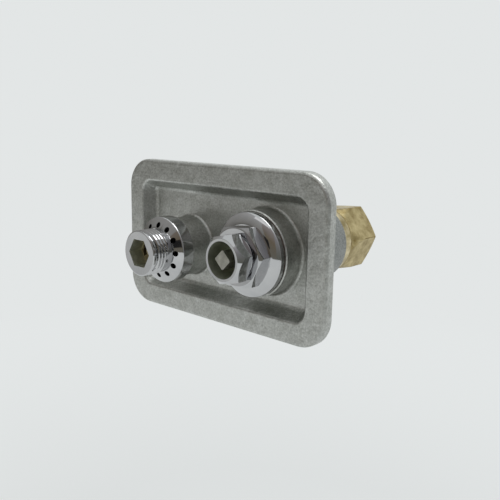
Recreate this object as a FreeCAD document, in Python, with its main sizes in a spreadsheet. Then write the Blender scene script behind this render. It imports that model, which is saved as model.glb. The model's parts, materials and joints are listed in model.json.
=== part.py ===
import FreeCAD, Part
import math
import os
import Sketcher

# Anti-siphon wall hydrant. The frame has +Z up and +Y into the wall, so the front faces -Y.
# The origin is the middle of the face plate on the wall plane. Lengths are in millimetres.

SIZES = {
    # Face plate with its recess
    "plate_width": 161,
    "plate_height": 94.7,
    "plate_corner": 18,
    "rim_thickness": 6.35,
    "rim_width": 13.1,
    "recess_depth": 8.5,
    "recess_corner": 8,
    "recess_draft": 30,
    "pan_wall": 4,
    "edge_round": 1.2,
    "rim_round": 2.2,
    "recess_lip_round": 2,
    "lip_round": 0.9,
    "foot_round": 3.5,
    # The two axes on the face
    "valve_x": 33.5,
    "valve_z": 0.4,
    "outlet_x": -28.7,
    "outlet_z": -4.5,
    # Valve boss in front and valve barrel behind
    "valve_boss_radius": 24.5,
    "valve_boss_reach": 10.75,
    "valve_bore_radius": 17.5,
    "barrel_radius": 23,
    "barrel_depth": 48.5,
    "cast_round": 2.2,
    "root_sink": 0.1,
    "boss_chamfer": 0.6,
    "barrel_chamfer": 1.2,
    # Outlet boss in front and breaker chamber behind
    "outlet_boss_radius": 18,
    "outlet_boss_reach": 14.5,
    "chamber_wall": 4.5,
    "chamber_depth": 30,
    "chamber_end_wall": 5,
    # Water passage between the two axes
    "passage_radius": 9,
    "passage_centre": 18,
    "passage_wall": 4.5,
    # Fits and gaskets
    "thread_gap": 0.05,
    "running_gap": 0.05,
    "gasket_thickness": 0.8,
    "gasket_margin": 1,
    # Bonnet
    "bonnet_flange_radius": 23.6,
    "bonnet_flange_rim": 2.9,
    "bonnet_dome_radius": 17,
    "bonnet_dome_rise": 2.9,
    "bonnet_dome_curve": 12,
    "bonnet_hex_flats": 32,
    "bonnet_hex_height": 7,
    "bonnet_front_radius": 15.6,
    "bonnet_chamfer": 1.7,
    "bonnet_shank_length": 21.5,
    "thread_runout": 0.4,
    "web_thickness": 3.5,
    "guide_tube_radius": 14,
    "guide_flats": 19.05,
    "guide_lead": 1.3,
    "guide_clearance": 1.6,
    # Packing nut
    "nut_hex_flats": 25.4,
    "nut_hex_height": 9.7,
    "nut_lead": 0.95,
    "nut_front_radius": 11.6,
    "nut_chamfer": 3,
    "nut_shank_radius": 12.5,
    "nut_shank_length": 12.3,
    "nut_neck_depth": 1.2,
    "key_bore_radius": 10.15,
    "key_bore_depth": 16,
    # Stem seals
    "packing_box_radius": 10,
    "packing_ring_height": 3.2,
    "gland_thickness": 2,
    "thrust_thickness": 1,
    "retaining_ring_thickness": 1.2,
    "retaining_ring_inner": 7.2,
    "retaining_groove": 0.9,
    # Operating stem
    "stem_square": 7.94,
    "stem_square_length": 13.2,
    "stem_corner_round": 1,
    "stem_tip_recess": 0.8,
    "stem_radius": 5.55,
    "collar_radius": 9,
    "collar_thickness": 4,
    "screw_radius": 6.35,
    # Valve plunger and its washer
    "valve_travel": 6.35,
    "end_clearance": 0.6,
    "plunger_flats": 18.85,
    "plunger_web": 1.6,
    "holder_lead": 3,
    "holder_radius": 12,
    "holder_thickness": 3.5,
    "cup_depth": 2.5,
    "seat_washer_radius": 10.9,
    "seat_washer_thickness": 4,
    "retainer_radius": 6.5,
    "retainer_thickness": 1,
    "screw_shank_radius": 2.4,
    "screw_head_radius": 4.4,
    "screw_head_height": 2.6,
    "screw_slot_width": 1.2,
    "screw_slot_depth": 1.3,
    # Valve seat and inlet fitting
    "seat_bore_radius": 8.5,
    "seat_lip_width": 1.6,
    "seat_lip_height": 1.5,
    "seat_body_radius": 13.9,
    "seat_body_length": 10,
    "seat_sink": 4.95,
    "spigot_length": 10.5,
    "fitting_hex_flats": 37.7,
    "fitting_length": 34.35,
    "fitting_chamfer": 13,
    "fitting_collar_radius": 20,
    "fitting_collar_length": 8.7,
    "inlet_bore_radius": 12.1,
    "inlet_bore_depth": 18.5,
    # Hose nozzle with its vent ring
    "nozzle_flange_radius": 19.86,
    "nozzle_skirt_wall": 1.96,
    "nozzle_rim_wall": 1.35,
    "nozzle_cone_radius": 13.2,
    "nozzle_cone_rise": 3.25,
    "neck_radius": 12.2,
    "neck_length": 1.6,
    "hose_thread_radius": 13.49,
    "hose_thread_length": 12.15,
    "nozzle_tip_chamfer": 0.49,
    "nozzle_hex_flats": 15.9,
    "nozzle_hex_depth": 9.15,
    "nozzle_bore_radius": 9.5,
    "nozzle_lip_width": 1.2,
    "nozzle_lip_gap": 0.3,
    "vent_count": 12,
    "vent_radius": 1.65,
    "vent_circle": 15.2,
    "vent_gap": 0.9,
    # Vacuum breaker behind the nozzle
    "breaker_flange_thickness": 4,
    "breaker_shank_length": 17.3,
    "breaker_wall": 3.95,
    "diaphragm_thickness": 1.6,
    "diaphragm_hole_radius": 5,
    "clamp_width": 0.95,
    "check_washer_radius": 7,
    "check_washer_thickness": 1.5,
    "check_head_radius": 7.5,
    "check_head_thickness": 2,
    "check_stem_radius": 2.05,
    "check_stem_reach": 2,
    "guide_thickness": 1.5,
    "guide_hub_radius": 3.4,
    "guide_rim_width": 1.8,
    "spring_radius": 4.6,
    "spring_wire": 0.6,
    "spring_turns": 3,
}

RETAINING_RING_ANGLE = 325
BONNET_TURN = 5
NUT_TURN = 12
FITTING_TURN = 4
GUIDE_WINDOWS = 4
HALF_ROOT_THREE = math.sqrt(3) / 2
VALVE = "valve_axis"
OUTLET = "outlet_axis"
SHEET = "Sizes"


class Size:
    """A length with its value and the expression that gives it from the sheet."""

    def __init__(self, value, text=None):
        self.value = value
        self.text = text or repr(value)

    def __add__(self, other):
        other = as_size(other)
        return Size(self.value + other.value, f"({self.text} + {other.text})")

    def __sub__(self, other):
        other = as_size(other)
        return Size(self.value - other.value, f"({self.text} - {other.text})")

    def __mul__(self, factor):
        factor = as_size(factor)
        return Size(self.value * factor.value, f"({self.text} * {factor.text})")

    def __truediv__(self, divisor):
        divisor = as_size(divisor)
        return Size(self.value / divisor.value, f"({self.text} / {divisor.text})")

    def __neg__(self):
        return Size(-self.value, f"(-1 * {self.text})")

    def tangent(self):
        return Size(math.tan(math.radians(self.value)), f"tan({self.text})")


def as_size(length):
    return length if isinstance(length, Size) else Size(length)


def fill_sheet():
    """Write the driving sizes to the sheet and give each one back under its own name."""
    sheet = doc.addObject("Spreadsheet::Sheet", SHEET)
    sizes = {}
    for row, (name, value) in enumerate(SIZES.items(), start=1):
        sheet.set(f"A{row}", str(value))
        sheet.setAlias(f"A{row}", name)
        sizes[name] = Size(value, f"{SHEET}.{name}")
    doc.recompute()
    return sizes


doc = FreeCAD.newDocument("wall_hydrant")
size = fill_sheet()
AXES = {
    VALVE: (size["valve_x"], size["valve_z"]),
    OUTLET: (size["outlet_x"], size["outlet_z"]),
}
bodies = []


def bind(item, prop, length):
    item.setExpression(prop, as_size(length).text)


def new_body(name, axis=None):
    """A body on one of the two axes, or on the plate's own origin."""
    body = doc.addObject("PartDesign::Body", name)
    body.Label = name
    if axis:
        x, z = AXES[axis]
        bind(body, "Placement.Base.x", x)
        bind(body, "Placement.Base.z", z)
    bodies.append(body)
    return body


def origin_item(body, role):
    return next(item for item in body.Origin.OriginFeatures if item.Role == role)


def new_sketch(body, name, role, offset):
    sketch = body.newObject("Sketcher::SketchObject", name)
    sketch.AttachmentSupport = [(origin_item(body, role), "")]
    sketch.MapMode = "FlatFace"
    for letter, distance in zip("xyz", offset):
        bind(sketch, f"AttachmentOffset.Base.{letter}", distance)
    return sketch


def pin(sketch, edge, end, point):
    """Hold one end of an edge, or a centre, at a point given from the sketch's origin."""
    for kind, length in zip(("DistanceX", "DistanceY"), point):
        length = as_size(length)
        index = sketch.addConstraint(Sketcher.Constraint(kind, -1, 1, edge, end, length.value))
        bind(sketch, f"Constraints[{index}]", length)


def hold_radius(sketch, edge, radius):
    index = sketch.addConstraint(Sketcher.Constraint("Radius", edge, radius.value))
    bind(sketch, f"Constraints[{index}]", radius)


def vector(x, y):
    return FreeCAD.Vector(as_size(x).value, as_size(y).value, 0)


def arc_between(start, finish, radius):
    """The shorter arc of a given radius, taken anticlockwise from one point to another."""
    half = (finish - start) * 0.5
    aside = FreeCAD.Vector(-half.y, half.x, 0)
    centre = start + half + aside * math.sqrt((radius / half.Length) ** 2 - 1)
    first = start - centre
    last = finish - centre
    begin = math.atan2(first.y, first.x)
    sweep = (math.atan2(last.y, last.x) - begin) % (2 * math.pi)
    circle = Part.Circle(centre, FreeCAD.Vector(0, 0, 1), radius)
    return Part.ArcOfCircle(circle, begin, begin + sweep)


def draw_outline(sketch, points):
    """A closed outline taken anticlockwise. A third value on a point makes the stretch after it
    an arc of that radius, which bulges outwards or, with a minus sign, inwards."""
    count = len(points)
    ends = []
    radii = {}
    for i, point in enumerate(points):
        start = vector(*point[:2])
        finish = vector(*points[(i + 1) % count][:2])
        if len(point) == 2:
            sketch.addGeometry(Part.LineSegment(start, finish))
            ends.append((1, 2))
        elif point[2].value > 0:
            radii[i] = point[2]
            sketch.addGeometry(arc_between(start, finish, radii[i].value))
            ends.append((1, 2))
        else:
            radii[i] = -point[2]
            sketch.addGeometry(arc_between(finish, start, radii[i].value))
            ends.append((2, 1))
    for i, point in enumerate(points):
        following = (i + 1) % count
        sketch.addConstraint(
            Sketcher.Constraint("Coincident", i, ends[i][1], following, ends[following][0])
        )
        pin(sketch, i, ends[i][0], point[:2])
    for edge, radius in radii.items():
        hold_radius(sketch, edge, radius)


def draw_circle(sketch, centre, radius):
    edge = sketch.addGeometry(Part.Circle(vector(*centre), FreeCAD.Vector(0, 0, 1), radius.value))
    pin(sketch, edge, 3, centre)
    hold_radius(sketch, edge, radius)


def draw_rounded(sketch, centres, radius):
    """A closed outline of equal arcs about the centres, taken anticlockwise, and their tangents."""
    count = len(centres)
    middles = [vector(*centre) for centre in centres]
    headings = []
    for i in range(count):
        run = middles[(i + 1) % count] - middles[i]
        headings.append(math.atan2(run.y, run.x) - math.pi / 2)
    for i in range(count):
        start = headings[i - 1]
        sweep = (headings[i] - start) % (2 * math.pi)
        circle = Part.Circle(middles[i], FreeCAD.Vector(0, 0, 1), radius.value)
        sketch.addGeometry(Part.ArcOfCircle(circle, start, start + sweep))
        aside = FreeCAD.Vector(math.cos(headings[i]), math.sin(headings[i]), 0) * radius.value
        sketch.addGeometry(Part.LineSegment(middles[i] + aside, middles[(i + 1) % count] + aside))
    for i in range(count):
        arc, line, following = 2 * i, 2 * i + 1, (2 * i + 2) % (2 * count)
        pin(sketch, arc, 3, centres[i])
        hold_radius(sketch, arc, radius)
        sketch.addConstraint(Sketcher.Constraint("Tangent", arc, 2, line, 1))
        sketch.addConstraint(Sketcher.Constraint("Tangent", line, 2, following, 1))


def rectangle_centres(half_width, half_height, radius):
    across = half_width - radius
    up = half_height - radius
    return [(-across, -up), (across, -up), (across, up), (-across, up)]


def hexagon(flats, turn=0):
    """The corners of a hexagon. Unturned, it has two corners on X and flats at its top and bottom."""
    corner = flats / HALF_ROOT_THREE * 0.5
    corners = []
    for step in range(6):
        angle = math.radians(turn + 60 * step)
        corners.append((corner * round(math.cos(angle), 9), corner * round(math.sin(angle), 9)))
    return corners


def octagon(radius):
    """The eight-sided section that stands for a round wire."""
    short = radius * math.sqrt(0.5)
    return [
        (radius, 0),
        (short, short),
        (0, radius),
        (-short, short),
        (-radius, 0),
        (-short, -short),
        (0, -radius),
        (short, -short),
    ]


def settle(body, feature, before, cut):
    """Recompute, and stop where a feature failed or left the solid's volume as it was."""
    body.Tip = feature
    doc.recompute()
    volume = feature.Shape.Volume
    grew = volume > before
    if "Invalid" in feature.State or volume == before or grew == cut:
        raise RuntimeError(f"{body.Label}: {feature.Label} did not change the solid as it should")
    return feature


def volume_of(body):
    return body.Tip.Shape.Volume if body.Tip else 0


def revolve(body, name, points, cut=False, at=(0, 0), angle=360):
    """Turn an outline of (radius, depth) points about the line through a place on the face."""
    before = volume_of(body)
    sketch = new_sketch(body, f"{name}_profile", "XY_Plane", (at[0], 0, at[1]))
    draw_outline(sketch, points)
    feature = body.newObject("PartDesign::Groove" if cut else "PartDesign::Revolution", name)
    feature.Profile = (sketch, [""])
    feature.ReferenceAxis = (sketch, ["V_Axis"])
    feature.Angle = angle
    return settle(body, feature, before, cut)


def prism(body, name, draw, outline, front, length, cut=False, taper=None):
    """Extrude an outline from a front depth towards the wall, or cut it out."""
    before = volume_of(body)
    sketch = new_sketch(body, f"{name}_outline", "XZ_Plane", (0, 0, -as_size(front)))
    draw(sketch, *outline)
    feature = body.newObject("PartDesign::Pocket" if cut else "PartDesign::Pad", name)
    feature.Profile = (sketch, [""])
    feature.Reversed = not cut
    bind(feature, "Length", length)
    if taper:
        bind(feature, "TaperAngle", taper)
    return settle(body, feature, before, cut)


def passage(body, name, radius, cut=False):
    """A round way from one axis to the other, lofted between a circle on each."""
    before = volume_of(body)
    circles = []
    for axis, (x, z) in AXES.items():
        sketch = new_sketch(body, f"{name}_at_{axis}", "YZ_Plane", (0, 0, x))
        draw_circle(sketch, (size["passage_centre"], z), radius)
        circles.append(sketch)
    feature = body.newObject("PartDesign::SubtractiveLoft" if cut else "PartDesign::AdditiveLoft", name)
    feature.Profile = (circles[0], [""])
    feature.Sections = [(circles[1], [""])]
    return settle(body, feature, before, cut)


def polar(body, name, feature, count):
    """Repeat a cut evenly about the body's own axis."""
    before = volume_of(body)
    pattern = body.newObject("PartDesign::PolarPattern", name)
    pattern.Originals = [feature]
    pattern.Axis = (feature.Profile[0], ["N_Axis"])
    pattern.Angle = 360
    bind(pattern, "Occurrences", count)
    return settle(body, pattern, before, cut=True)


def fillet(body, name, radius, wanted):
    """Round the edges of the solid that the test picks out."""
    base = body.Tip
    edges = [f"Edge{i}" for i, edge in enumerate(base.Shape.Edges, start=1) if wanted(edge)]
    if not edges:
        raise RuntimeError(f"{body.Label}: no edge found for {name}")
    feature = body.newObject("PartDesign::Fillet", name)
    feature.Base = (base, edges)
    bind(feature, "Radius", radius)
    body.Tip = feature
    doc.recompute()
    return feature


def near(a, b):
    return abs(a - b) < 0.01


def on_rectangle(half_width, half_height, depth):
    """A test for the edges of a rounded rectangle outline that lies at one depth."""

    def wanted(edge):
        for vertex in edge.Vertexes:
            place = vertex.Point
            beside = near(abs(place.x), half_width.value) or near(abs(place.z), half_height.value)
            if not (beside and near(place.y, depth.value)):
                return False
        return near(edge.BoundBox.YMin, edge.BoundBox.YMax)

    return wanted


def on_circle(radius, depth):
    """A test for circles of a given radius about the body's own axis, at one depth."""

    def wanted(edge):
        curve = edge.Curve
        if not isinstance(curve, Part.Circle) or not near(curve.Radius, radius.value):
            return False
        centre = curve.Center
        return near(centre.x, 0) and near(centre.z, 0) and near(centre.y, depth.value)

    return wanted


def trim_hex(body, name, flats, end, start_radius, run):
    """Cone off a hexagon's corners, from a radius at its end to its full corner after a run."""
    corner = flats / HALF_ROOT_THREE * 0.5
    past = corner + size["edge_round"]
    slope = (past - start_radius) / (corner - start_radius)
    revolve(body, name, [(start_radius, end), (past, end), (past, end + run * slope)], cut=True)


def ring(name, axis, inner, outer, front, back):
    body = new_body(name, axis)
    revolve(body, "turned", [(inner, front), (outer, front), (outer, back), (inner, back)])
    return body


# Stations along the valve axis, from the boss forwards and then back along the stem
boss_front = -size["valve_boss_reach"]
flange_back = boss_front - size["gasket_thickness"]
flange_front = flange_back - size["bonnet_flange_rim"]
dome_top = flange_front - size["bonnet_dome_rise"]
bonnet_front = dome_top - size["bonnet_hex_height"]
nut_back = bonnet_front - size["nut_lead"]
nut_front = nut_back - size["nut_hex_height"]
nut_end = nut_back + size["nut_shank_length"]
gland_back = nut_end + size["gland_thickness"]
packing_middle = gland_back + size["packing_ring_height"]
box_floor = packing_middle + size["packing_ring_height"]
web_back = box_floor + size["web_thickness"]
collar_front = web_back + size["thrust_thickness"] + size["running_gap"]
collar_back = collar_front + size["collar_thickness"]
retainer_front = collar_back + size["running_gap"]
retainer_back = retainer_front + size["retaining_ring_thickness"]
guide_front = retainer_back + size["guide_lead"]
shank_end = flange_back + size["bonnet_shank_length"]

# Stations back from the barrel's end: the fitting, the seat, and the plunger and screw that reach it
barrel_end = size["barrel_depth"]
fitting_front = barrel_end + size["gasket_thickness"]
fitting_back = fitting_front + size["fitting_length"]
spigot_front = barrel_end - size["spigot_length"]
seat_lip_back = spigot_front + size["seat_sink"]
seat_end = seat_lip_back + size["seat_body_length"]
seat_face = seat_lip_back - size["seat_lip_height"]
washer_back = seat_face - size["running_gap"]
cup_floor = washer_back - size["seat_washer_thickness"]
cup_rim = cup_floor + size["cup_depth"]
holder_front = cup_floor - size["holder_thickness"]
plunger_bore_end = holder_front - size["holder_lead"]
screw_hole_front = plunger_bore_end + size["plunger_web"]
screw_end = plunger_bore_end - size["valve_travel"] - size["end_clearance"]
plunger_front = guide_front + size["valve_travel"] + size["end_clearance"]
guide_end = holder_front - size["valve_travel"] - size["guide_clearance"]

# Stations along the outlet axis, from the boss forwards to the hose
outlet_front = -size["outlet_boss_reach"]
skirt_back = outlet_front - size["gasket_thickness"]
breaker_front = skirt_back - size["breaker_flange_thickness"]
diaphragm_front = breaker_front - size["diaphragm_thickness"]
vent_floor = diaphragm_front - size["vent_gap"]
nozzle_rim_front = vent_floor - size["nozzle_rim_wall"]
cone_top = nozzle_rim_front - size["nozzle_cone_rise"]
thread_back = cone_top - size["neck_length"]
nozzle_tip = thread_back - size["hose_thread_length"]
guide_seat = nozzle_tip + size["nozzle_hex_depth"]
guide_back = guide_seat + size["guide_thickness"]
check_washer_back = diaphragm_front - size["running_gap"]
check_washer_front = check_washer_back - size["check_washer_thickness"]
check_head_front = check_washer_front - size["check_head_thickness"]
check_tip = guide_seat - size["check_stem_reach"]

# Radii of the fits
valve_thread = size["valve_bore_radius"] - size["thread_gap"]
chamber_bore = size["outlet_boss_radius"] - size["chamber_wall"]
chamber_thread = chamber_bore - size["thread_gap"]
stem_hole = size["stem_radius"] + size["running_gap"]
guide_round = size["guide_flats"] * 0.5 + size["thread_gap"]
skirt_bore = size["nozzle_flange_radius"] - size["nozzle_skirt_wall"]

# The plate's own outlines and depths
half_width = size["plate_width"] * 0.5
half_height = size["plate_height"] * 0.5
rim_front = -size["rim_thickness"]
floor = size["recess_depth"] - size["rim_thickness"]
pan_back = floor + size["pan_wall"]
recess_half_width = half_width - size["rim_width"]
recess_half_height = half_height - size["rim_width"]
draft_slope = size["recess_draft"].tangent()


def face_casting():
    """The rim, the recessed pan, the bosses, the barrels and the water ways, cast in one piece."""
    body = new_body("face_casting")
    plate = rectangle_centres(half_width, half_height, size["plate_corner"])
    prism(body, "rim", draw_rounded, (plate, size["plate_corner"]), rim_front, size["rim_thickness"])
    grow = size["pan_wall"] - size["rim_thickness"] * draft_slope
    pan_corner = size["recess_corner"] + grow
    pan = rectangle_centres(recess_half_width + grow, recess_half_height + grow, pan_corner)
    prism(body, "pan", draw_rounded, (pan, pan_corner), 0, pan_back, taper=-size["recess_draft"])
    shrink = grow - pan_back * draft_slope
    back = on_rectangle(recess_half_width + shrink, recess_half_height + shrink, pan_back)
    fillet(body, "pan_edge", size["cast_round"], back)
    corner = size["recess_corner"]
    recess = rectangle_centres(recess_half_width, recess_half_height, corner)
    prism(
        body,
        "recess",
        draw_rounded,
        (recess, corner),
        rim_front,
        size["recess_depth"],
        cut=True,
        taper=-size["recess_draft"],
    )
    inset = size["recess_depth"] * draft_slope
    foot = on_rectangle(recess_half_width - inset, recess_half_height - inset, floor)
    fillet(body, "recess_foot", size["foot_round"], foot)
    fillet(body, "rim_edge", size["rim_round"], on_rectangle(half_width, half_height, rim_front))
    lip = on_rectangle(recess_half_width, recess_half_height, rim_front)
    fillet(body, "recess_lip", size["recess_lip_round"], lip)

    flare = size["cast_round"]
    sunk = flare + size["root_sink"]
    curve = (flare * flare + sunk * sunk) / flare * 0.5
    chamfer = size["boss_chamfer"]
    boss = size["valve_boss_radius"]
    barrel = size["barrel_radius"]
    end = size["barrel_chamfer"]
    profile = [
        (0, boss_front),
        (boss - chamfer, boss_front),
        (boss, boss_front + chamfer),
        (boss, floor - flare, -curve),
        (boss + flare, floor - flare + sunk),
        (barrel + flare, pan_back + flare - sunk, -curve),
        (barrel, pan_back + flare),
        (barrel, barrel_end - end),
        (barrel - end, barrel_end),
        (0, barrel_end),
    ]
    revolve(body, "valve_barrel", profile, at=AXES[VALVE])
    boss = size["outlet_boss_radius"]
    depth = size["chamber_depth"] + size["chamber_end_wall"]
    profile = [
        (0, outlet_front),
        (boss - chamfer, outlet_front),
        (boss, outlet_front + chamfer),
        (boss, floor - flare, -curve),
        (boss + flare, floor - flare + sunk),
        (boss + flare, pan_back + flare - sunk, -curve),
        (boss, pan_back + flare),
        (boss, depth - flare, flare),
        (boss - flare, depth),
        (0, depth),
    ]
    revolve(body, "outlet_barrel", profile, at=AXES[OUTLET])
    passage(body, "passage_cover", size["passage_radius"] + size["passage_wall"])

    bore = size["valve_bore_radius"]
    through = [(0, boss_front), (bore, boss_front), (bore, barrel_end), (0, barrel_end)]
    revolve(body, "valve_bore", through, cut=True, at=AXES[VALVE])
    depth = size["chamber_depth"]
    chamber = [(0, outlet_front), (chamber_bore, outlet_front), (chamber_bore, depth), (0, depth)]
    revolve(body, "breaker_chamber", chamber, cut=True, at=AXES[OUTLET])
    passage(body, "water_passage", size["passage_radius"], cut=True)


def bonnet():
    """Flange, dome and hexagon in front, and a shank behind that ends in a hexagonal guide."""
    body = new_body("bonnet", VALVE)
    rim = size["bonnet_flange_radius"]
    tube = size["guide_tube_radius"]
    profile = [
        (0, dome_top),
        (size["bonnet_dome_radius"], dome_top, size["bonnet_dome_curve"]),
        (rim, flange_front),
        (rim, flange_back),
        (valve_thread, flange_back),
        (valve_thread, shank_end),
        (tube, shank_end),
        (tube, guide_end),
        (0, guide_end),
    ]
    revolve(body, "flange_and_shank", profile)
    flats = size["bonnet_hex_flats"]
    outline = (hexagon(flats, BONNET_TURN),)
    prism(body, "hexagon", draw_outline, outline, bonnet_front, size["bonnet_hex_height"])
    face = size["bonnet_front_radius"]
    trim_hex(body, "hexagon_front", flats, bonnet_front, face, size["bonnet_chamfer"])
    fillet(body, "flange_edge", size["edge_round"], on_circle(rim, flange_front))

    thread = size["nut_shank_radius"] + size["thread_gap"]
    mouth = nut_end + size["thread_runout"]
    box = size["packing_box_radius"]
    groove = guide_round + size["retaining_groove"]
    bore = [
        (0, bonnet_front),
        (thread, bonnet_front),
        (thread, mouth),
        (box, mouth),
        (box, box_floor),
        (stem_hole, box_floor),
        (stem_hole, web_back),
        (guide_round, web_back),
        (guide_round, retainer_front),
        (groove, retainer_front),
        (groove, retainer_back),
        (guide_round, retainer_back),
        (guide_round, guide_front),
        (0, guide_front),
    ]
    revolve(body, "bore", bore, cut=True)
    guide = (hexagon(size["guide_flats"]),)
    prism(body, "guide_bore", draw_outline, guide, guide_front, guide_end - guide_front, cut=True)


def packing_nut():
    """Hexagon with a deep round key guard, and a threaded shank that presses the gland."""
    body = new_body("packing_nut", VALVE)
    shank = size["nut_shank_radius"]
    neck = shank - size["nut_neck_depth"]
    profile = [
        (0, nut_back),
        (neck, nut_back),
        (neck, bonnet_front),
        (shank, bonnet_front + size["nut_neck_depth"]),
        (shank, nut_end),
        (0, nut_end),
    ]
    revolve(body, "shank", profile)
    flats = size["nut_hex_flats"]
    outline = (hexagon(flats, NUT_TURN),)
    prism(body, "hexagon", draw_outline, outline, nut_front, size["nut_hex_height"])
    trim_hex(body, "hexagon_front", flats, nut_front, size["nut_front_radius"], size["nut_chamfer"])
    trim_hex(body, "hexagon_back", flats, nut_back, flats * 0.5, -size["edge_round"])
    key_floor = nut_front + size["key_bore_depth"]
    bore = [
        (0, nut_front),
        (size["key_bore_radius"], nut_front),
        (size["key_bore_radius"], key_floor),
        (stem_hole, key_floor),
        (stem_hole, nut_end),
        (0, nut_end),
    ]
    revolve(body, "key_guard", bore, cut=True)


def operating_stem():
    """A square for the key, a plain shank through the packing, a thrust collar and a screw."""
    body = new_body("operating_stem", VALVE)
    tip = nut_front + size["stem_tip_recess"]
    shoulder = tip + size["stem_square_length"]
    profile = [
        (0, shoulder),
        (size["stem_radius"], shoulder),
        (size["stem_radius"], collar_front),
        (size["collar_radius"], collar_front),
        (size["collar_radius"], collar_back),
        (size["screw_radius"], collar_back),
        (size["screw_radius"], screw_end),
        (0, screw_end),
    ]
    revolve(body, "shank", profile)
    corner = size["stem_corner_round"]
    reach = (size["stem_square"] * 0.5 - corner) * math.sqrt(2)
    diamond = [(reach, 0), (0, reach), (-reach, 0), (0, -reach)]
    prism(body, "square", draw_rounded, (diamond, corner), tip, size["stem_square_length"])


def stem_seals():
    """Gaskets, gland, packing rings, thrust washer and the ring that holds the stem's collar."""
    bore = size["valve_bore_radius"]
    edge = size["bonnet_flange_radius"] - size["gasket_margin"]
    ring("bonnet_gasket", VALVE, bore, edge, flange_back, boss_front)
    box = size["packing_box_radius"] - size["thread_gap"]
    ring("gland_washer", VALVE, stem_hole, box, nut_end, gland_back)
    ring("packing_ring_front", VALVE, stem_hole, box, gland_back, packing_middle)
    ring("packing_ring_rear", VALVE, stem_hole, box, packing_middle, box_floor)
    outer = guide_round - size["thread_gap"]
    ring("thrust_washer", VALVE, stem_hole, outer, web_back, web_back + size["thrust_thickness"])

    body = new_body("stem_retaining_ring", VALVE)
    inner = size["retaining_ring_inner"]
    outer = guide_round + size["retaining_groove"] - size["thread_gap"]
    section = [
        (inner, retainer_front),
        (outer, retainer_front),
        (outer, retainer_back),
        (inner, retainer_back),
    ]
    revolve(body, "open_ring", section, angle=RETAINING_RING_ANGLE)


def valve_plunger():
    """A hexagonal nut on the stem's screw, with a cupped holder for the seat washer."""
    body = new_body("valve_plunger", VALVE)
    flats = size["plunger_flats"]
    length = holder_front - plunger_front
    prism(body, "hexagon", draw_outline, (hexagon(flats),), plunger_front, length)
    holder = size["holder_radius"]
    revolve(body, "holder", [(0, holder_front), (holder, holder_front), (holder, cup_rim), (0, cup_rim)])
    thread = size["screw_radius"] + size["running_gap"]
    bore = [(0, plunger_front), (thread, plunger_front), (thread, plunger_bore_end), (0, plunger_bore_end)]
    revolve(body, "screw_bore", bore, cut=True)
    cup = size["seat_washer_radius"] + size["thread_gap"]
    hole = size["screw_shank_radius"] + size["thread_gap"]
    recess = [(0, screw_hole_front), (hole, screw_hole_front), (hole, cup_floor)]
    recess += [(cup, cup_floor), (cup, cup_rim), (0, cup_rim)]
    revolve(body, "washer_cup", recess, cut=True)


def washer_stack():
    """The seat washer, the plate that holds it and the slotted screw through both."""
    hole = size["screw_shank_radius"] + size["thread_gap"]
    ring("seat_washer", VALVE, hole, size["seat_washer_radius"], cup_floor, washer_back)
    retainer = washer_back + size["retainer_thickness"]
    ring("washer_retainer", VALVE, hole, size["retainer_radius"], washer_back, retainer)
    body = new_body("washer_screw", VALVE)
    shank = size["screw_shank_radius"]
    head = size["screw_head_radius"]
    back = retainer + size["screw_head_height"]
    start = screw_hole_front + size["end_clearance"]
    profile = [(0, start), (shank, start), (shank, retainer), (head, retainer), (head, back), (0, back)]
    revolve(body, "turned", profile)
    half = size["screw_slot_width"] * 0.5
    slot_depth = size["screw_slot_depth"]
    slot = [(-head, -half), (head, -half), (head, half), (-head, half)]
    prism(body, "slot", draw_outline, (slot,), back - slot_depth, slot_depth, cut=True)


def valve_seat():
    """A threaded ring in the inlet fitting, with a narrow raised lip for the washer."""
    body = new_body("valve_seat", VALVE)
    bore = size["seat_bore_radius"]
    lip = bore + size["seat_lip_width"]
    outer = size["seat_body_radius"]
    profile = [(bore, seat_face), (lip, seat_face), (lip, seat_lip_back), (outer, seat_lip_back)]
    profile += [(outer, seat_end), (bore, seat_end)]
    revolve(body, "turned", profile)


def inlet_fitting():
    """A hexagon behind the barrel with a female pipe thread, and a spigot that carries the seat."""
    body = new_body("inlet_fitting", VALVE)
    collar = size["fitting_collar_radius"]
    collar_end = fitting_front + size["fitting_collar_length"]
    profile = [
        (0, spigot_front),
        (valve_thread, spigot_front),
        (valve_thread, fitting_front),
        (collar, fitting_front),
        (collar, collar_end),
        (0, collar_end),
    ]
    revolve(body, "spigot_and_collar", profile)
    flats = size["fitting_hex_flats"]
    outline = (hexagon(flats, FITTING_TURN),)
    prism(body, "hexagon", draw_outline, outline, collar_end, fitting_back - collar_end)
    trim_hex(body, "hexagon_front", flats, collar_end, flats * 0.5, size["fitting_chamfer"])
    trim_hex(body, "hexagon_back", flats, fitting_back, flats * 0.5, -size["edge_round"])
    seat = size["seat_body_radius"] + size["thread_gap"]
    bore = size["seat_bore_radius"]
    inlet = size["inlet_bore_radius"]
    inlet_floor = fitting_back - size["inlet_bore_depth"]
    waterway = [
        (0, spigot_front),
        (seat, spigot_front),
        (seat, seat_end),
        (bore, seat_end),
        (bore, inlet_floor),
        (inlet, inlet_floor),
        (inlet, fitting_back),
        (0, fitting_back),
    ]
    revolve(body, "waterway", waterway, cut=True)
    inner = size["valve_bore_radius"]
    ring("inlet_gasket", VALVE, inner, collar, barrel_end, fitting_front)


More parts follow.
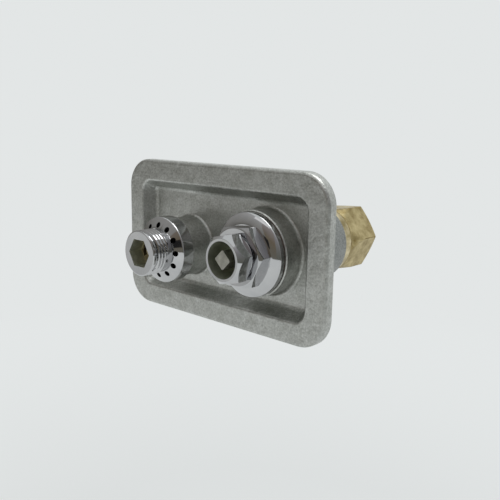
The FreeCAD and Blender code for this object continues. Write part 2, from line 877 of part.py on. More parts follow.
def hose_nozzle():
    """The hose thread, the coned vent ring and the skirt over the breaker, turned in one piece."""
    body = new_body("hose_nozzle", OUTLET)
    flange = size["nozzle_flange_radius"]
    cone = size["nozzle_cone_radius"]
    neck = size["neck_radius"]
    thread = size["hose_thread_radius"]
    chamfer = size["nozzle_tip_chamfer"]
    outside = [
        (0, nozzle_tip),
        (thread - chamfer, nozzle_tip),
        (thread, nozzle_tip + chamfer),
        (thread, thread_back),
        (neck, thread_back),
        (neck, cone_top),
        (cone, cone_top),
        (flange, nozzle_rim_front),
        (flange, skirt_back),
        (0, skirt_back),
    ]
    revolve(body, "outside", outside)
    fillet(body, "rim_edge", size["lip_round"], on_circle(flange, nozzle_rim_front))
    bore = size["nozzle_bore_radius"]
    lip = bore + size["nozzle_lip_width"]
    lip_back = diaphragm_front - size["nozzle_lip_gap"]
    clamp = skirt_bore - size["clamp_width"]
    inside = [
        (0, guide_seat),
        (bore, guide_seat),
        (bore, lip_back),
        (lip, lip_back),
        (lip, vent_floor),
        (clamp, vent_floor),
        (clamp, diaphragm_front),
        (skirt_bore, diaphragm_front),
        (skirt_bore, skirt_back),
        (0, skirt_back),
    ]
    revolve(body, "inside", inside, cut=True)
    mouth = (hexagon(size["nozzle_hex_flats"]),)
    prism(body, "mouth", draw_outline, mouth, nozzle_tip, size["nozzle_hex_depth"], cut=True)
    hole = ((size["vent_circle"], 0), size["vent_radius"])
    vent = prism(body, "vent", draw_circle, hole, cone_top, vent_floor - cone_top, cut=True)
    polar(body, "vents", vent, size["vent_count"])


def vacuum_breaker():
    """The breaker's body, its gasket and the diaphragm that opens the vents to the air."""
    edge = size["outlet_boss_radius"] - size["gasket_margin"]
    ring("breaker_gasket", OUTLET, chamber_bore, edge, skirt_back, outlet_front)
    body = new_body("breaker_body", OUTLET)
    flange = skirt_bore - size["thread_gap"]
    bore = chamber_thread - size["breaker_wall"]
    end = skirt_back + size["breaker_shank_length"]
    profile = [
        (bore, breaker_front),
        (flange, breaker_front),
        (flange, skirt_back),
        (chamber_thread, skirt_back),
        (chamber_thread, end),
        (bore, end),
    ]
    revolve(body, "turned", profile)
    hole = size["diaphragm_hole_radius"]
    ring("vent_diaphragm", OUTLET, hole, flange, diaphragm_front, breaker_front)


def check_valve():
    """The spring-loaded check: plunger and washer, the guide for its stem and the coil spring."""
    ring(
        "check_washer",
        OUTLET,
        size["check_stem_radius"],
        size["check_washer_radius"],
        check_washer_front,
        check_washer_back,
    )
    body = new_body("check_plunger", OUTLET)
    stem = size["check_stem_radius"]
    head = size["check_head_radius"]
    profile = [
        (0, check_tip),
        (stem, check_tip),
        (stem, check_head_front),
        (head, check_head_front),
        (head, check_washer_front),
        (stem, check_washer_front),
        (stem, check_washer_back),
        (0, check_washer_back),
    ]
    revolve(body, "turned", profile)

    hole = stem + size["running_gap"]
    edge = size["nozzle_bore_radius"] - size["thread_gap"]
    body = ring("plunger_guide", OUTLET, hole, edge, guide_seat, guide_back)
    inner = size["guide_hub_radius"]
    outer = edge - size["guide_rim_width"]
    window = [
        (inner * HALF_ROOT_THREE, -inner * 0.5),
        (outer * HALF_ROOT_THREE, -outer * 0.5),
        (outer, 0),
        (outer * HALF_ROOT_THREE, outer * 0.5),
        (inner * HALF_ROOT_THREE, inner * 0.5),
    ]
    opening = prism(body, "window", draw_outline, (window,), guide_seat, size["guide_thickness"], cut=True)
    polar(body, "windows", opening, as_size(GUIDE_WINDOWS))

    body = new_body("check_spring", OUTLET)
    wire = size["spring_wire"] * 0.5
    clear = wire + size["running_gap"]
    sketch = new_sketch(body, "wire_section", "XY_Plane", (size["spring_radius"], guide_back + clear, 0))
    draw_outline(sketch, octagon(wire))
    coil = body.newObject("PartDesign::AdditiveHelix", "coil")
    coil.Profile = (sketch, [""])
    coil.ReferenceAxis = (origin_item(body, "Y_Axis"), [""])
    coil.Mode = "height-turns-angle"
    bind(coil, "Height", check_head_front - guide_back - clear * 2)
    bind(coil, "Turns", size["spring_turns"])
    settle(body, coil, 0, cut=False)


def check_document():
    for item in doc.Objects:
        if "Invalid" in item.State or "Error" in item.State:
            raise RuntimeError(f"{item.Label} failed to compute")
    for body in bodies:
        shape = body.Shape
        if shape.isNull() or not shape.isValid() or len(shape.Solids) != 1:
            raise RuntimeError(f"{body.Label} is not one valid solid")


def export():
    os.makedirs("parts", exist_ok=True)
    for body in bodies:
        body.Shape.exportStep(f"parts/{body.Label}.step")


face_casting()
bonnet()
packing_nut()
operating_stem()
stem_seals()
valve_plunger()
washer_stack()
valve_seat()
inlet_fitting()
hose_nozzle()
vacuum_breaker()
check_valve()
doc.recompute()
check_document()
export()
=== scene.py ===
import json
import math

import bmesh
import bpy
from mathutils import Matrix, Vector


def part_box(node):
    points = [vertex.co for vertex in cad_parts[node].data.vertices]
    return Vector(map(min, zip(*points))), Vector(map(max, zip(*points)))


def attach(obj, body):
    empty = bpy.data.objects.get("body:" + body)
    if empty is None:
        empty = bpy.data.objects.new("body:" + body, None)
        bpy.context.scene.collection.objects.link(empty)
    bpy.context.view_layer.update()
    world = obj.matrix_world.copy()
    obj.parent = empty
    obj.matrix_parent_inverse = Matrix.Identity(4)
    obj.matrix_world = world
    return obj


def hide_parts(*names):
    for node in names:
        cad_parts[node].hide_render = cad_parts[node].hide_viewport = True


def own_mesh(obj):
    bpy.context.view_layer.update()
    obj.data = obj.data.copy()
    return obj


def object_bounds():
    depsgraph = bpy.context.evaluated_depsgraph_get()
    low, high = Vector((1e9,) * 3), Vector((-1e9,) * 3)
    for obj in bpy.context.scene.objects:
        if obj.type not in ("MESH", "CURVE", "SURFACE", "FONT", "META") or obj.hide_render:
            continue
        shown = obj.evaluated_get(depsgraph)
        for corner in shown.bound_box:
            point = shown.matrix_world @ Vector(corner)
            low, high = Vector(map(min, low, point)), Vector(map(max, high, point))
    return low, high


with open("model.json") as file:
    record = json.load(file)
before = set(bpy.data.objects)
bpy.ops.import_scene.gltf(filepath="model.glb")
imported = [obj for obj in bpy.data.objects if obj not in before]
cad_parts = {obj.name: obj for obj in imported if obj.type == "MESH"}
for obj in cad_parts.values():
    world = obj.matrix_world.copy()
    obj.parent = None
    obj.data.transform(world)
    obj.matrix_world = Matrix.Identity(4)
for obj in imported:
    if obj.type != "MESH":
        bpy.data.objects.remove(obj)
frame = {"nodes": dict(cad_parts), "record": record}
CAD_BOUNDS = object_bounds()
nodes = frame["nodes"]
record = frame["record"]

MM = 0.001
HOUSING = "housing"

# The photograph's viewpoint, as an angle round the object and a distance to the point in its middle
AIM = Vector((0.02785, -0.00635, 0.00125))
AZIMUTH = math.radians(41.94)
ELEVATION = math.radians(11.29)
ROLL = math.radians(1.03)
DISTANCE = 0.35705
LENS = 45.79
SENSOR = 36
NEAR_CLIP = 0.01
FAR_CLIP = 100

# Studio
BACKDROP_COLOUR = (0.767, 0.791, 0.791, 1)
FLOOR_DROP = 0.2
FLOOR_REACH = 12
NEAR_FLOOR = (0.97, 1, 1)
NEAR_GLOW = 0.5
SHADOW_REACH = 0.2
FLOOR_FADE = 0.75
AMBIENT = 0.5
LEFT_FOOT = (0.5, 0.51, 0.505)
LEFT_SKIRTING = (0.78, 0.79, 0.78)
LEFT_DARK = (0.12, 0.115, 0.1)
LEFT_GREY = (0.29, 0.285, 0.27)
LEFT_PALE = (0.5, 0.5, 0.5)
FRONT_GREY = (0.17, 0.165, 0.14)
FRONT_BROWN = (0.18, 0.15, 0.11)
FRONT_PALE = (0.36, 0.33, 0.33)
RIGHT_DARK = (0.14, 0.145, 0.12)
RIGHT_GREY = (0.28, 0.275, 0.285)
RIGHT_PALE = (0.55, 0.545, 0.555)
BAND_WHITE = (0.95, 0.95, 0.95)
FLAG_BLACK = (0.02, 0.02, 0.02)
# Each card's name, colours at its foot and top, distance, bearings and heights in degrees
CARDS = (
    ("left_foot", LEFT_FOOT, LEFT_SKIRTING, 0.8, -115, -12, -17, -3),
    ("left_low", LEFT_DARK, LEFT_GREY, 0.8, -115, -12, -3, 14),
    ("left_high", LEFT_GREY, LEFT_PALE, 0.8, -115, -12, 14, 48),
    ("front_low", FRONT_GREY, FRONT_BROWN, 0.8, -12, 24, -9, 12),
    ("front_high", FRONT_BROWN, FRONT_PALE, 0.8, -12, 24, 12, 41),
    ("right_low", RIGHT_DARK, RIGHT_GREY, 0.8, 24, 120, -9, 26),
    ("right_high", RIGHT_GREY, RIGHT_PALE, 0.8, 24, 105, 26, 52),
    ("front_band", BAND_WHITE, BAND_WHITE, 0.78, -34, 12, 40, 48),
    ("nozzle_flag", FLAG_BLACK, FLAG_BLACK, 0.28, -11, 2, -1, 10),
)
CARD_STEPS = 32
OVERHEAD_PLACE = (0.15, 0.15, 1.05)
OVERHEAD_WIDTH = 0.6
OVERHEAD_DEPTH = 0.5
OVERHEAD_POWER = 4.5

# Sizes of the looks
WELD = 0.001 * MM
FLAT = math.radians(0.2)
CREASE = math.radians(32)
LONG_EDGE = 2.5 * MM
CHROME_EDGE = 0.25 * MM
NUT_LIP = 0.15 * MM
NOZZLE_LIP = 0.3 * MM
BRASS_EDGE = 0.45 * MM
HOSE_PITCH = 25.4 / 11.5 * MM
HOSE_ROOT_RADIUS = 12.05 * MM
HOSE_TIP_LAND = 1.1 * MM
HOSE_RUNOUT = 0.5 * MM
HOSE_CREST_DROP = 0.16 * MM
HOSE_SHOULDER = 0.12
HOSE_CREST_FLAT = 0.05
HOSE_SPARE_TURNS = 0.4
PIPE_PITCH = 25.4 / 14 * MM
PIPE_THREAD_HEIGHT = 1.1 * MM
PIPE_CREST_FLAT = 0.06
PIPE_SPARE_TURNS = 3
THREAD_FOOT = 0.46
THREAD_SINK = 0.1 * MM
CREST_TOLERANCE = 0.02 * MM
STEPS_PER_TURN = 64
KEY_BORE_RADIUS = 10.3 * MM
MOUTH_RADIUS = 9.7 * MM
COLLAR_RADIUS = 20.1 * MM
COLLAR_END = 58 * MM
# Width of the band of painted shade where the collar meets the hexagon
CREVICE_WIDTH = 1.1 * MM

# Places of the colour sockets on a mixing node
FIRST_COLOUR = 6
SECOND_COLOUR = 7
MIXED_COLOUR = 2

# Places of the finishes on a piece
BORE = 1
COLLAR = 1
# The dark brass of the hexagon's corners, also painted shade in the collar's crevice
EDGE = 2


def mount(name):
    return next(m for m in record["mounts"] if m["name"] == name)


def new_material(name):
    """A material with its shader, and short ways to add a node and to join two sockets."""
    material = bpy.data.materials.new(name)
    material.use_nodes = True
    tree = material.node_tree
    shader = tree.nodes["Principled BSDF"]

    def add(kind, **values):
        node = tree.nodes.new(kind)
        for key, value in values.items():
            node.inputs[key.replace("_", " ")].default_value = value
        return node

    def join(source, target):
        tree.links.new(source, target)

    return material, shader, add, join


def mottled(add, join, scale, detail, low=0, high=1):
    """Noise over the object, spread to run from low to high."""
    place = add("ShaderNodeTexCoord")
    noise = add("ShaderNodeTexNoise", Scale=scale, Detail=detail, Roughness=0.6)
    spread = add("ShaderNodeMapRange", From_Min=0.3, From_Max=0.7, To_Min=low, To_Max=high)
    join(place.outputs["Object"], noise.inputs["Vector"])
    join(noise.outputs["Fac"], spread.inputs["Value"])
    return spread.outputs["Result"]


def along_depth(add, join, front, back):
    """Nothing in front of one depth, one behind the other, and a ramp between them."""
    place = add("ShaderNodeTexCoord")
    split = add("ShaderNodeSeparateXYZ")
    ramp = add("ShaderNodeMapRange", From_Min=front, From_Max=back)
    join(place.outputs["Object"], split.inputs["Vector"])
    join(split.outputs["Y"], ramp.inputs["Value"])
    return ramp.outputs["Result"]


def blend(add, join, share, first, second):
    """One colour that turns into another as the share rises, both from other nodes."""
    mix = add("ShaderNodeMix")
    mix.data_type = "RGBA"
    join(share, mix.inputs["Factor"])
    join(first, mix.inputs[FIRST_COLOUR])
    join(second, mix.inputs[SECOND_COLOUR])
    return mix.outputs[MIXED_COLOUR]


def two_tone(add, join, share, dark, light):
    """One plain colour that turns into another as the share rises."""
    mix = add("ShaderNodeMix")
    mix.data_type = "RGBA"
    mix.inputs[FIRST_COLOUR].default_value = (*dark, 1)
    mix.inputs[SECOND_COLOUR].default_value = (*light, 1)
    join(share, mix.inputs["Factor"])
    return mix.outputs[MIXED_COLOUR]


def grain(add, join, shader, *layers):
    """Relief in layers of (height, depth), the broadest first."""
    under = None
    for height, depth in layers:
        bump = add("ShaderNodeBump", Strength=1.0, Distance=depth)
        join(height, bump.inputs["Height"])
        if under:
            join(under, bump.inputs["Normal"])
        under = bump.outputs["Normal"]
    join(under, shader.inputs["Normal"])


def satin_casting():
    """Sand-cast nickel bronze, blasted to an even grey satin with a fine speckle, and painted
    darker behind the wall as painted shade."""
    material, shader, add, join = new_material("satin_casting")
    shader.inputs["Metallic"].default_value = 1
    speckle = mottled(add, join, 900, 6)
    clean = two_tone(add, join, speckle, (0.395, 0.402, 0.382), (0.655, 0.663, 0.64))
    stained = two_tone(add, join, speckle, (0.317, 0.323, 0.299), (0.542, 0.55, 0.52))
    blasted = blend(add, join, mottled(add, join, 210, 4), clean, stained)
    # Painted shade: a darker tone that the casting takes behind the plate
    painted_shade_tone = two_tone(add, join, speckle, (0.2, 0.208, 0.2), (0.38, 0.39, 0.38))
    behind = along_depth(add, join, 3 * MM, 9 * MM)
    join(blend(add, join, behind, blasted, painted_shade_tone), shader.inputs["Base Color"])
    join(mottled(add, join, 260, 5, 0.32, 0.48), shader.inputs["Roughness"])
    wavy = mottled(add, join, 130, 2)
    sandy = mottled(add, join, 800, 6)
    grain(add, join, shader, (wavy, 0.16 * MM), (sandy, 0.07 * MM))
    return material


def polished_chrome():
    """Polished chrome over brass, with the faint waviness of a buffed part."""
    material, shader, add, join = new_material("polished_chrome")
    shader.inputs["Metallic"].default_value = 1
    cloud = mottled(add, join, 90, 2)
    tone = two_tone(add, join, cloud, (0.5, 0.505, 0.515), (0.57, 0.57, 0.575))
    join(tone, shader.inputs["Base Color"])
    join(mottled(add, join, 320, 4, 0.04, 0.09), shader.inputs["Roughness"])
    grain(add, join, shader, (mottled(add, join, 210, 2), 0.006 * MM))
    return material


def brass(name, dark, light, rough, scale):
    """Machined brass: patchy colour, a little dull, with fine tool marks."""
    material, shader, add, join = new_material(name)
    shader.inputs["Metallic"].default_value = 1
    patch = mottled(add, join, scale, 5)
    join(two_tone(add, join, patch, dark, light), shader.inputs["Base Color"])
    join(mottled(add, join, 3 * scale, 4, rough, rough + 0.16), shader.inputs["Roughness"])
    grain(add, join, shader, (mottled(add, join, 6 * scale, 4), 0.02 * MM))
    return material


def drawn_steel():
    """Drawn wire and turned steel, bright with fine streaks."""
    material, shader, add, join = new_material("drawn_steel")
    shader.inputs["Metallic"].default_value = 1
    streak = mottled(add, join, 700, 2)
    tone = two_tone(add, join, streak, (0.5, 0.5, 0.5), (0.66, 0.66, 0.65))
    join(tone, shader.inputs["Base Color"])
    join(mottled(add, join, 1200, 3, 0.2, 0.36), shader.inputs["Roughness"])
    return material


def dull(name, dark, light, rough, scale, depth):
    """A matte stuff with no metal in it: rubber, fibre sheet or packing."""
    material, shader, add, join = new_material(name)
    tone = mottled(add, join, scale, 4)
    join(two_tone(add, join, tone, dark, light), shader.inputs["Base Color"])
    join(mottled(add, join, 2 * scale, 3, rough - 0.08, rough + 0.08), shader.inputs["Roughness"])
    grain(add, join, shader, (mottled(add, join, 2 * scale, 3), depth))
    return material


FINISHES = {
    "cast_bronze": satin_casting(),
    "chrome_plate": polished_chrome(),
    "yellow_brass": brass(
        "machined_brass", dark=(0.27, 0.2, 0.075), light=(0.62, 0.52, 0.28), rough=0.3, scale=170
    ),
    "turned_bronze": brass(
        "lathe_bronze", dark=(0.46, 0.38, 0.23), light=(0.62, 0.53, 0.35), rough=0.32, scale=160
    ),
    "stem_bronze": brass(
        "plated_stem", dark=(0.32, 0.315, 0.275), light=(0.52, 0.51, 0.455), rough=0.42, scale=300
    ),
    "stainless_steel": drawn_steel(),
    "black_rubber": dull(
        "moulded_rubber",
        dark=(0.02, 0.02, 0.02),
        light=(0.045, 0.045, 0.045),
        rough=0.7,
        scale=500,
        depth=0.02 * MM,
    ),
    "fibre_gasket": dull(
        "pressed_fibre",
        dark=(0.24, 0.13, 0.1),
        light=(0.38, 0.23, 0.18),
        rough=0.8,
        scale=700,
        depth=0.04 * MM,
    ),
    "stem_packing": dull(
        "white_packing",
        dark=(0.72, 0.72, 0.68),
        light=(0.84, 0.84, 0.8),
        rough=0.55,
        scale=600,
        depth=0.02 * MM,
    ),
}
UNPLATED = brass(
    "unplated_bore", dark=(0.48, 0.5, 0.42), light=(0.68, 0.7, 0.6), rough=0.5, scale=200
)
# Lighter brass for the collar: a turned finish, with a painted highlight in its lighter colour
TURNED_COLLAR_AND_HIGHLIGHT = brass(
    "turned_collar_and_highlight", dark=(0.3, 0.24, 0.11), light=(0.78, 0.68, 0.45), rough=0.26, scale=140
)
# Dark brass for the hexagon's rounded corners, and painted shade in the crevice where the collar
# meets the hexagon
DARK_EDGE_AND_CREVICE_SHADE = brass(
    "dark_edge_and_crevice_shade", dark=(0.22, 0.16, 0.055), light=(0.48, 0.385, 0.19), rough=0.4, scale=420
)

for subpart in record["subparts"]:
    slots = nodes[subpart["node"]].data.materials
    slots.clear()
    slots.append(FINISHES[subpart["material_slot"]])


def radius_from(axis, place):
    return math.hypot(place.x - axis.x, place.z - axis.z)


def put_in_scene(name, data):
    made = bpy.data.objects.new(name, data)
    bpy.context.scene.collection.objects.link(made)
    return made


def merged_copy(node):
    """A solid's mesh with its loose triangles joined and its flat faces made whole."""
    mesh = bmesh.new()
    mesh.from_mesh(nodes[node].data)
    bmesh.ops.remove_doubles(mesh, verts=mesh.verts, dist=WELD)
    bmesh.ops.dissolve_limit(mesh, angle_limit=FLAT, verts=mesh.verts, edges=mesh.edges)
    return mesh


def cut_across(mesh, depth):
    """Add a ring of edges where a plane at one depth crosses the mesh."""
    everything = mesh.verts[:] + mesh.edges[:] + mesh.faces[:]
    place = (0, depth, 0)
    bmesh.ops.bisect_plane(mesh, geom=everything, dist=WELD, plane_co=place, plane_no=(0, 1, 0))


def bevel_edges(mesh, edges, width, segments):
    rounded = bmesh.ops.bevel(
        mesh,
        geom=edges,
        offset=width,
        affect="EDGES",
        segments=segments,
        profile=0.5,
        material=-1,
        clamp_overlap=True,
    )
    return rounded["faces"]


def is_sharp(edge):
    return edge.is_manifold and edge.calc_face_angle() > CREASE


def round_corners(mesh, width):
    """Take the sharpness off a hexagon's long edges. The short edges beside them are left, because
    they would hold all of them to a hair's width."""
    corners = []
    for edge in mesh.edges:
        run = abs(edge.verts[0].co.y - edge.verts[1].co.y)
        if run > LONG_EDGE and edge.is_convex and is_sharp(edge):
            corners.append(edge)
    return bevel_edges(mesh, corners, width, segments=2)


def round_lip(mesh, axis, inside, width):
    """Round the front face's outer edge, which is all that lies outside one radius."""
    front = min(v.co.y for v in mesh.verts)

    def on_lip(vertex):
        return vertex.co.y < front + WELD and radius_from(axis, vertex.co) > inside

    lip = [e for e in mesh.edges if all(on_lip(v) for v in e.verts) and is_sharp(e)]
    bevel_edges(mesh, lip, width, segments=3)


def finish_piece(mesh, name, slot, *more_finishes, stands_for=()):
    """Make the object in its slot's finish, ride it on the housing, shade it smooth between its
    creases and cut it into even triangles."""
    bmesh.ops.dissolve_degenerate(mesh, dist=WELD, edges=mesh.edges)
    data = bpy.data.meshes.new(name)
    mesh.to_mesh(data)
    mesh.free()
    if "custom_normal" in data.attributes:
        data.attributes.remove(data.attributes["custom_normal"])
    data.shade_smooth()
    data.set_sharp_from_angle(angle=CREASE)
    for finish in (FINISHES[slot], *more_finishes):
        data.materials.append(finish)
    piece = put_in_scene(name, data)
    steady = piece.modifiers.new("even_faces", "WEIGHTED_NORMAL")
    steady.keep_sharp = True
    even = piece.modifiers.new("even_triangles", "TRIANGULATE")
    even.quad_method = "BEAUTY"
    even.ngon_method = "BEAUTY"
    even.keep_custom_normals = True
    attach(piece, HOUSING)
    if stands_for:
        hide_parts(*stands_for)
    return piece


def leave_unplated(mesh, axis, radius):
    """Give the faces inside a bore the second material."""
    for face in mesh.faces:
        if max(radius_from(axis, v.co) for v in face.verts) < radius:
            face.material_index = BORE


def thread_ridge(axis, section, start, pitch, turns, sunk_radius):
    """A helical ridge about an axis along Y. Its section is (radius, depth) points about its
    middle. It climbs towards the front as a right-handed thread does, and both ends run out."""
    mesh = bmesh.new()
    corners = [mesh.verts.new((axis.x + r, start + y, axis.z)) for r, y in section]
    face = mesh.faces.new(corners)
    steps = round(turns * STEPS_PER_TURN)
    spun = bmesh.ops.spin(
        mesh,
        geom=[face, *face.edges, *corners],
        cent=axis,
        axis=(0, -1, 0),
        dvec=(0, -pitch / STEPS_PER_TURN, 0),
        angle=2 * math.pi * steps / STEPS_PER_TURN,
        steps=steps,
    )
    last = [v for v in spun["geom_last"] if isinstance(v, bmesh.types.BMVert)]
    crest = section[len(section) // 2][0]
    shrink = sunk_radius / crest
    around = Matrix.Translation(-axis)
    for end in (corners, last):
        bmesh.ops.scale(mesh, vec=(shrink, 1, shrink), space=around, verts=end)
    bmesh.ops.recalc_face_normals(mesh, faces=mesh.faces)
    return mesh


def casting():
    """The face casting with its flat faces made whole."""
    mesh = merged_copy("face_casting")
    finish_piece(mesh, "casting_skin", "cast_bronze", stands_for=["face_casting"])


def bonnet_and_nut():
    """The two chrome hexagons, the nut with its key bore left unplated."""
    mesh = merged_copy("bonnet")
    round_corners(mesh, CHROME_EDGE)
    finish_piece(mesh, "bonnet_skin", "chrome_plate", stands_for=["bonnet"])
    mesh = merged_copy("packing_nut")
    axis = Vector(mount("key_square")["pos_m"])
    round_lip(mesh, axis, KEY_BORE_RADIUS, NUT_LIP)
    round_corners(mesh, CHROME_EDGE)
    leave_unplated(mesh, axis, KEY_BORE_RADIUS)
    finish_piece(mesh, "packing_nut_skin", "chrome_plate", UNPLATED, stands_for=["packing_nut"])


def hose_nozzle():
    """The nozzle with its thread cut down to the root, and the thread's ridge round it."""
    hose = mount("hose_thread")
    axis = Vector(hose["pos_m"])
    crest = hose["dims"]["r_mm"] * MM
    back = axis.y + hose["dims"]["length_mm"] * MM / 2
    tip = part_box("hose_nozzle")[0].y
    land = tip + HOSE_TIP_LAND
    root = land + HOSE_RUNOUT
    mesh = merged_copy("hose_nozzle")
    for depth in (land, root):
        cut_across(mesh, depth)
    cut = []
    for vertex in mesh.verts:
        on_crest = abs(radius_from(axis, vertex.co) - crest) < CREST_TOLERANCE
        if on_crest and root - WELD < vertex.co.y < back + HOSE_RUNOUT:
            cut.append(vertex)
    shrink = HOSE_ROOT_RADIUS / crest
    bmesh.ops.scale(mesh, vec=(shrink, 1, shrink), space=Matrix.Translation(-axis), verts=cut)
    round_lip(mesh, axis, MOUTH_RADIUS, NOZZLE_LIP)
    leave_unplated(mesh, axis, MOUTH_RADIUS)
    finish_piece(mesh, "hose_nozzle_skin", "chrome_plate", UNPLATED, stands_for=["hose_nozzle"])

    foot = HOSE_ROOT_RADIUS - THREAD_SINK
    section = [
        (foot, -THREAD_FOOT * HOSE_PITCH),
        (crest - HOSE_CREST_DROP, -HOSE_SHOULDER * HOSE_PITCH),
        (crest, -HOSE_CREST_FLAT * HOSE_PITCH),
        (crest, HOSE_CREST_FLAT * HOSE_PITCH),
        (crest - HOSE_CREST_DROP, HOSE_SHOULDER * HOSE_PITCH),
        (foot, THREAD_FOOT * HOSE_PITCH),
    ]
    first = back - 0.5 * HOSE_PITCH
    turns = (first - root) / HOSE_PITCH - HOSE_SPARE_TURNS
    mesh = thread_ridge(axis, section, first, HOSE_PITCH, turns, foot)
    finish_piece(mesh, "hose_thread", "chrome_plate")


def inlet_fitting():
    """The brass hexagon, and the pipe thread's ridge inside its mouth."""
    pipe = mount("inlet_thread")
    axis = Vector(pipe["pos_m"])
    mesh = merged_copy("inlet_fitting")
    crevice = COLLAR_END - CREVICE_WIDTH
    cut_across(mesh, crevice)
    for face in mesh.faces:
        if max(radius_from(axis, v.co) for v in face.verts) > COLLAR_RADIUS:
            continue
        # The collar takes the lighter turned colour, which carries a painted highlight
        if max(v.co.y for v in face.verts) < crevice + WELD:
            face.material_index = COLLAR
        # Painted shade: the band of the collar just in front of the hexagon is painted dark
        elif max(v.co.y for v in face.verts) < COLLAR_END + WELD:
            face.material_index = EDGE
    # The hexagon's rounded corners are painted dark as well
    for face in round_corners(mesh, BRASS_EDGE):
        face.material_index = EDGE
    finish_piece(
        mesh,
        "inlet_fitting_skin",
        "yellow_brass",
        TURNED_COLLAR_AND_HIGHLIGHT,
        DARK_EDGE_AND_CREVICE_SHADE,
        stands_for=["inlet_fitting"],
    )
    wall = pipe["dims"]["r_mm"] * MM + THREAD_SINK
    crest = pipe["dims"]["r_mm"] * MM - PIPE_THREAD_HEIGHT
    section = [
        (wall, -THREAD_FOOT * PIPE_PITCH),
        (crest, -PIPE_CREST_FLAT * PIPE_PITCH),
        (crest, PIPE_CREST_FLAT * PIPE_PITCH),
        (wall, THREAD_FOOT * PIPE_PITCH),
    ]
    reach = pipe["dims"]["length_mm"] * MM
    first = axis.y + reach / 2 - PIPE_PITCH
    turns = reach / PIPE_PITCH - PIPE_SPARE_TURNS
    mesh = thread_ridge(axis, section, first, PIPE_PITCH, turns, wall)
    finish_piece(mesh, "inlet_pipe_thread", "yellow_brass")


def check_spring():
    """The coil between the guide and the check, with a mesh of its own."""
    mesh = merged_copy("check_spring")
    coil = finish_piece(mesh, "check_spring_coil", "stainless_steel", stands_for=["check_spring"])
    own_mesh(coil)


def seen_directly(tree):
    """One for rays from the camera or by way of polished metal or glass, nothing for others."""
    path = tree.nodes.new("ShaderNodeLightPath")
    total = path.outputs["Is Camera Ray"]
    for name in ("Is Glossy Ray", "Is Transmission Ray"):
        either = tree.nodes.new("ShaderNodeMath")
        either.operation = "MAXIMUM"
        tree.links.new(total, either.inputs[0])
        tree.links.new(path.outputs[name], either.inputs[1])
        total = either.outputs[0]
    return total


def studio():
    """Pale backdrop and floor, one wide softbox overhead, and cards in front for the metal to
    mirror."""
    world = bpy.data.worlds.new("studio")
    world.use_nodes = True
    bpy.context.scene.world = world
    tree = world.node_tree
    background = tree.nodes["Background"]
    background.inputs["Color"].default_value = BACKDROP_COLOUR
    strength = tree.nodes.new("ShaderNodeMapRange")
    strength.inputs["To Min"].default_value = AMBIENT
    strength.inputs["To Max"].default_value = 1
    tree.links.new(seen_directly(tree), strength.inputs["Value"])
    tree.links.new(strength.outputs["Result"], background.inputs["Strength"])

    pale_floor()
    for card in CARDS:
        standing_card(*card)
    softbox("overhead", OVERHEAD_PLACE, OVERHEAD_WIDTH, OVERHEAD_DEPTH, OVERHEAD_POWER)


def pale_floor():
    """Paper that keeps the object's shadow below it, and turns into the backdrop further out."""
    level = CAD_BOUNDS[0][2] - FLOOR_DROP
    mesh = bmesh.new()
    place = Matrix.Translation((0, 0, level))
    bmesh.ops.create_grid(mesh, x_segments=1, y_segments=1, size=FLOOR_REACH, matrix=place)
    data = bpy.data.meshes.new("floor")
    mesh.to_mesh(data)
    mesh.free()
    floor = put_in_scene("floor", data)
    material, shader, add, join = new_material("pale_floor")
    tree = material.node_tree
    tree.nodes.remove(shader)
    spot = add("ShaderNodeTexCoord")
    away = add("ShaderNodeVectorMath")
    away.operation = "DISTANCE"
    away.inputs[1].default_value = (AIM.x, AIM.y, level)
    far = add("ShaderNodeMapRange", From_Min=SHADOW_REACH, From_Max=FLOOR_FADE)
    share = add("ShaderNodeMapRange", To_Min=NEAR_GLOW, To_Max=1)
    direct = add("ShaderNodeMath")
    direct.operation = "MULTIPLY"
    paper = add("ShaderNodeBsdfDiffuse", Color=BACKDROP_COLOUR)
    glow = add("ShaderNodeEmission")
    mix = add("ShaderNodeMixShader")
    join(spot.outputs["Object"], away.inputs[0])
    join(away.outputs["Value"], far.inputs["Value"])
    join(far.outputs["Result"], share.inputs["Value"])
    join(share.outputs["Result"], direct.inputs[0])
    join(seen_directly(tree), direct.inputs[1])
    tone = two_tone(add, join, far.outputs["Result"], NEAR_FLOOR, BACKDROP_COLOUR[:3])
    join(tone, glow.inputs["Color"])
    join(direct.outputs["Value"], mix.inputs["Fac"])
    join(paper.outputs["BSDF"], mix.inputs[1])
    join(glow.outputs["Emission"], mix.inputs[2])
    join(mix.outputs["Shader"], tree.nodes["Material Output"].inputs["Surface"])
    data.materials.append(material)


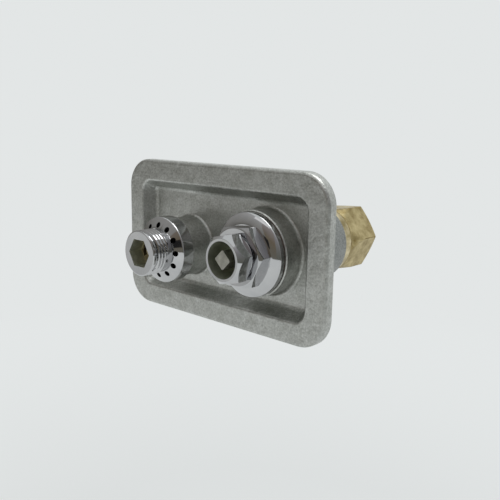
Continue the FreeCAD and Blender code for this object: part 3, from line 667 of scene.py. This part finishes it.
def standing_card(name, low_colour, high_colour, distance, left, right, low, high):
    """A curved card round the object, between two bearings and two heights as seen from there, that
    fades from its foot to its top. The camera doesn't see it, and it casts no shadow."""
    foot, top = (distance * math.tan(math.radians(angle)) for angle in (low, high))
    start = math.radians(left)
    side = Vector((math.sin(start), -math.cos(start), 0)) * distance
    mesh = bmesh.new()
    ends = [mesh.verts.new(side + Vector((0, 0, height))) for height in (foot, top)]
    edge = mesh.edges.new(ends)
    sweep = math.radians(right - left)
    bmesh.ops.spin(
        mesh,
        geom=[*ends, edge],
        axis=(0, 0, 1),
        cent=(0, 0, 0),
        angle=sweep,
        steps=CARD_STEPS,
    )
    data = bpy.data.meshes.new(name)
    mesh.to_mesh(data)
    mesh.free()
    card = put_in_scene(name, data)
    card.visible_camera = False
    card.visible_shadow = False
    material, shader, add, join = new_material(name)
    place = add("ShaderNodeTexCoord")
    split = add("ShaderNodeSeparateXYZ")
    fade = add("ShaderNodeMapRange", From_Min=foot, From_Max=top)
    paint = add("ShaderNodeEmission")
    join(place.outputs["Object"], split.inputs["Vector"])
    join(split.outputs["Z"], fade.inputs["Value"])
    tone = two_tone(add, join, fade.outputs["Result"], low_colour, high_colour)
    join(tone, paint.inputs["Color"])
    tree = material.node_tree
    tree.nodes.remove(shader)
    join(paint.outputs["Emission"], tree.nodes["Material Output"].inputs["Surface"])
    data.materials.append(material)


def softbox(name, place, width, depth, power):
    """A wide lamp that faces the object and isn't seen by the camera."""
    light = bpy.data.lights.new(name, "AREA")
    light.shape = "RECTANGLE"
    light.size = width
    light.size_y = depth
    light.energy = power
    lamp = put_in_scene(name, light)
    lamp.location = place
    lamp.rotation_euler = (AIM - Vector(place)).to_track_quat("-Z", "Y").to_euler()
    lamp.visible_camera = False


def camera():
    """The photograph's viewpoint."""
    back = Vector(
        (
            math.sin(AZIMUTH) * math.cos(ELEVATION),
            -math.cos(AZIMUTH) * math.cos(ELEVATION),
            math.sin(ELEVATION),
        )
    )
    data = bpy.data.cameras.new("viewpoint")
    data.lens = LENS
    data.sensor_width = SENSOR
    data.clip_start = NEAR_CLIP
    data.clip_end = FAR_CLIP
    viewpoint = put_in_scene("viewpoint", data)
    turn = back.to_track_quat("Z", "Y").to_matrix().to_4x4() @ Matrix.Rotation(ROLL, 4, "Z")
    viewpoint.matrix_world = Matrix.Translation(AIM + back * DISTANCE) @ turn
    bpy.context.scene.camera = viewpoint


casting()
bonnet_and_nut()
hose_nozzle()
inlet_fitting()
check_spring()
studio()
camera()
bpy.context.scene.view_settings.view_transform = "Standard"
